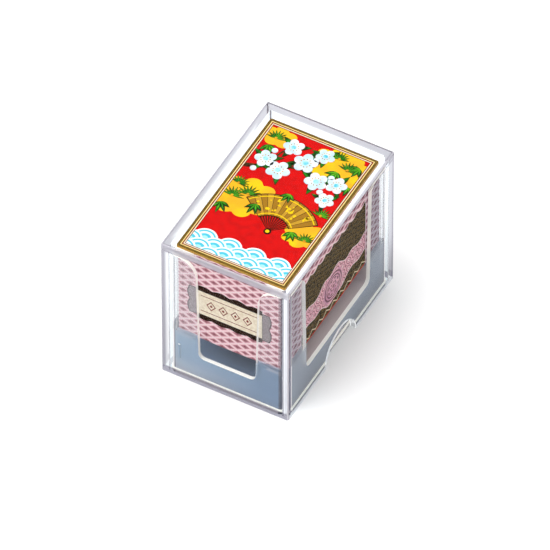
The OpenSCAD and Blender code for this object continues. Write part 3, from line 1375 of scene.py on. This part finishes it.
    def branch(self) -> None:
        """Prints the branch, its twigs, its blossoms and its buds."""
        wood = self.layers["branch"]
        wood.ribbon([(-16, 8.4), (-9, 9.6), (-4, 17.6), (10, 13.2)], 1.5, 0.5)
        wood.ribbon([(-8.2, 11.4), (-9.6, 14), (-9.2, 17), (-6.8, 20.4)], 0.9, 0.3)
        wood.ribbon([(0.6, 14.6), (2.6, 17), (3.6, 19), (3, 22.4)], 0.8, 0.3)
        wood.ribbon([(4.6, 14.4), (7.4, 12), (8, 9.4), (11.4, 7.2)], 0.7, 0.25)
        for x, y, size, turn in (
                (-11.2, 13.2, 3.1, 10), (-6.0, 11.0, 3.4, 40), (-6.2, 20.8, 3.0, 5),
                (-0.4, 17.0, 3.5, 62), (3.4, 22.0, 2.7, 30), (5.6, 12.2, 3.3, 18),
                (11.4, 13.6, 3.0, 50), (11.2, 7.0, 2.7, 28)):
            self.blossom(x, y, size, turn)
        for x, y in ((-12.6, 8.4), (-10.4, 17.2), (1.8, 19.4), (8.4, 9.2), (8.8, 15.4)):
            self.layers["petal_edge"].shape(x, y, 0.95, disc, 20)
            self.layers["petal"].shape(x, y + 0.1, 0.75, disc, 20)

    def pines(self) -> None:
        """Prints the tufts of pine needles."""
        for x, y, size, lean in (
                (-12.8, -3.6, 3.5, 0), (-9.0, -1.2, 3.6, 8), (-13.4, 1.4, 3.0, -10),
                (11.4, 20.2, 3.3, -6), (7.2, 23.0, 2.9, 6), (13.6, -9.4, 3.0, 10),
                (13.0, 1.2, 3.2, -4), (-12.4, 21.6, 3.2, 4)):
            for n in range(9):
                self.leaf(x, y, lean + 6 + 21 * n, branch=(size + 0.1, 0.62),
                          needle=(size, 0.42), sprig=(size * 0.86, 0.2))
            self.layers["stamen"].shape(x, y, 0.42, disc, 14)

    def bamboo(self) -> None:
        """Prints the clusters of bamboo leaves, each leaf with its outline and its light half."""
        for x, y, size, lean in (
                (-5.2, -3.4, 4.2, -80), (-14.4, -7.2, 4.4, -62), (9.2, 18.2, 4.4, -98),
                (14.4, 22.4, 4.2, -120), (8.8, -8.0, 3.8, -70), (-13.0, 18.4, 4.0, -66),
                (14.8, 14.6, 3.8, -104), (1.4, 4.4, 3.6, -86)):
            for spread, share in ((-52, 0.8), (-20, 1.0), (14, 0.92), (46, 0.72)):
                length = size * share
                self.leaf(x, y, lean + spread, branch=(length + 0.25, 1.3),
                          needle=(length, 0.95), sprig=(length * 0.8, 0.36))

    def build(self) -> None:
        """Dresses the card and prints its picture."""
        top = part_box("title_card")[1]
        board = TitleBoard(name="title_board", half_w=top.x / MM, half_l=top.y / MM)
        dress(self.frame, board, "title_card")
        self.clouds()
        self.fan()
        self.branch()
        self.pines()
        self.bamboo()
        face = Face.TOP.frame(Vector((0, 0, top.z)))
        for layer in self.layers.values():
            layer.trim(board.half_w - board.border, board.half_l - board.border)
            layer.build(face, "title", "title_board")


@dataclass
class Deck:
    """The wrapped deck: cards, printed wrapper, end label and the side medallions."""

    frame: Frame
    lip: float = 1.1
    medal_y: float = -0.2
    medal_up: float = 9.5
    medal_r: float = 5.1
    medal_step: float = 0.012
    medal_turn: float = 22.5

    def medallion(self, side: Face, reach: float, low: float) -> None:
        """Prints the rosette of one long side.

        Args:
            side: the face that carries it.
            reach: distance of that face from the middle, in metres.
            low: height of the deck's bottom, in metres.
        """
        dark = PrintInk("medal_plum", Ink.PLUM, Ink.DARK_ROSE, 0.5)
        pink = PrintInk("medal_rose", Ink.MAUVE, Ink.PINK, 0.4)
        rings = {
            "field": (pink, 12, 1.14, 0.05), "outer_line": (dark, 8, 1.0, 0.0),
            "band": (pink, 8, 0.88, 0.0), "inner_line": (dark, 8, 0.78, 0.0),
            "ground": (pink, 8, 0.68, 0.0), "petals": (dark, 8, 0.63, 0.2),
            "petal_faces": (pink, 8, 0.56, 0.22), "gaps": (dark, 8, 0.36, 0.24),
            "inner_petals": (pink, 8, 0.28, 0.26), "core": (dark, 6, 0.13, 0.1),
        }
        place = side.frame(Vector((math.copysign(reach, side.value[2][0]), 0, low)))
        for level, (key, (ink, count, share, depth)) in enumerate(rings.items()):
            layer = PrintLayer(f"medal_{side.name.lower()}_{key}", ink, level, self.medal_step)
            layer.shape(self.medal_y, self.medal_up, self.medal_r * share, lobes(count, depth), 96,
                        self.medal_turn * (level // 2 % 2))
            layer.build(place, "deck", "wrapping_paper")

    def build(self) -> None:
        """Dresses the deck's nodes and prints its medallions."""
        low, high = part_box("deck_wrapper")
        label_low, label_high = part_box("end_label")
        label_z = (label_low.z + label_high.z) / 2 / MM
        cards = [name for name in self.frame["nodes"] if name.startswith("card_")]
        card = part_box(cards[0])[1] / MM
        dress(self.frame, WrapPaper(
            name="printed_wrapper", low=low.z / MM, label_z=label_z, medal_y=self.medal_y),
            "deck_wrapper")
        dress(self.frame, LabelPaper(name="label_paper", middle_z=label_z), "end_label")
        dress(self.frame, CardBoard(
            name="card_board", lip_x=card.x - self.lip, lip_y=card.y - self.lip), *cards)
        for side in (Face.RIGHT, Face.LEFT):
            self.medallion(side, high.x, low.z)


@dataclass
class Studio:
    """Floor, light and camera."""

    azimuth: float = 28.694
    elevation: float = 47.718
    distance: float = 3470.7
    lens: float = 800.5
    sensor: float = 36.0
    clip_end: float = 100.0
    middle_z: float = 26.2
    aim_right: float = -0.825
    aim_up: float = -3.938
    floor_half: float = 4000.0
    sun: float = 1.56
    sun_spread: float = 36.0
    sun_from: tuple[float, float, float] = (-0.4, -0.38, 1.0)
    sky: float = 1.4
    sky_rise: tuple[float, float] = (0.1, 0.9)
    dim: float = 0.68
    dim_rise: tuple[float, float] = (0.3, 0.62)
    bounces: int = 40

    def floor(self) -> None:
        """Lays the floor."""
        sheet = bmesh.new()
        bmesh.ops.create_grid(sheet, x_segments=1, y_segments=1, size=self.floor_half * MM)
        link_sheet("floor", sheet, FloorPaper(name="floor_paper"))

    def light(self) -> None:
        """Hangs one wide lamp on the left and sets the white room round the table."""
        lamp = bpy.data.lights.new("key", "SUN")
        lamp.energy = self.sun
        lamp.angle = math.radians(self.sun_spread)
        made = link("key", lamp)
        made.rotation_euler = Vector(self.sun_from).to_track_quat("Z", "Y").to_euler()
        world = bpy.data.worlds.new("room")
        world.use_nodes = True
        tree = ShaderTree(world.node_tree)
        up = tree.split(tree.value("TexCoord", output="Generated"))[2]
        wall = 1 - self.dim * up.rise(*self.dim_rise)
        ceiling = self.sky * up.rise(*self.sky_rise)
        strength = ceiling + tree.ray("Glossy", "Transmission") * (wall - ceiling)
        tree.add("OutputWorld", inputs={"Surface": tree.value("Background", inputs={
            "Color": Ink.FULL_WHITE,
            "Strength": strength + tree.ray("Camera") * (1 - strength)})})
        bpy.context.scene.world = world

    def camera(self) -> None:
        """Sets the camera at the photograph's angle."""
        turn, tilt = math.radians(self.azimuth), math.radians(self.elevation)
        level = math.cos(tilt)
        back = Vector((math.sin(turn) * level, -math.cos(turn) * level, math.sin(tilt)))
        right = Vector((math.cos(turn), math.sin(turn), 0))
        up = back.cross(right)
        aim = Vector((0, 0, self.middle_z)) + right * self.aim_right + up * self.aim_up
        lens = bpy.data.cameras.new("camera")
        lens.lens = self.lens
        lens.sensor_width = self.sensor
        lens.clip_end = self.clip_end
        made = link("camera", lens)
        made.location = (aim + back * self.distance) * MM
        made.rotation_euler = back.to_track_quat("Z", "Y").to_euler()
        bpy.context.scene.camera = made

    def build(self) -> None:
        """Sets up the floor, the light, the camera and the plain view."""
        self.floor()
        self.light()
        self.camera()
        scene = bpy.context.scene
        scene.view_settings.view_transform = "Standard"
        for limit in ("max", "glossy", "transmission", "transparent_max"):
            setattr(scene.cycles, f"{limit}_bounces", self.bounces)
        log.info("studio: camera at %.0f mm", self.distance)


def main() -> None:
    """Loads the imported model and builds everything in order."""
    logging.basicConfig(level=logging.INFO, format="%(message)s")
    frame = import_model()
    Studio().build()
    Case(frame).build()
    TitleCard(frame).build()
    Deck(frame).build()


if __name__ == "__main__":
    main()
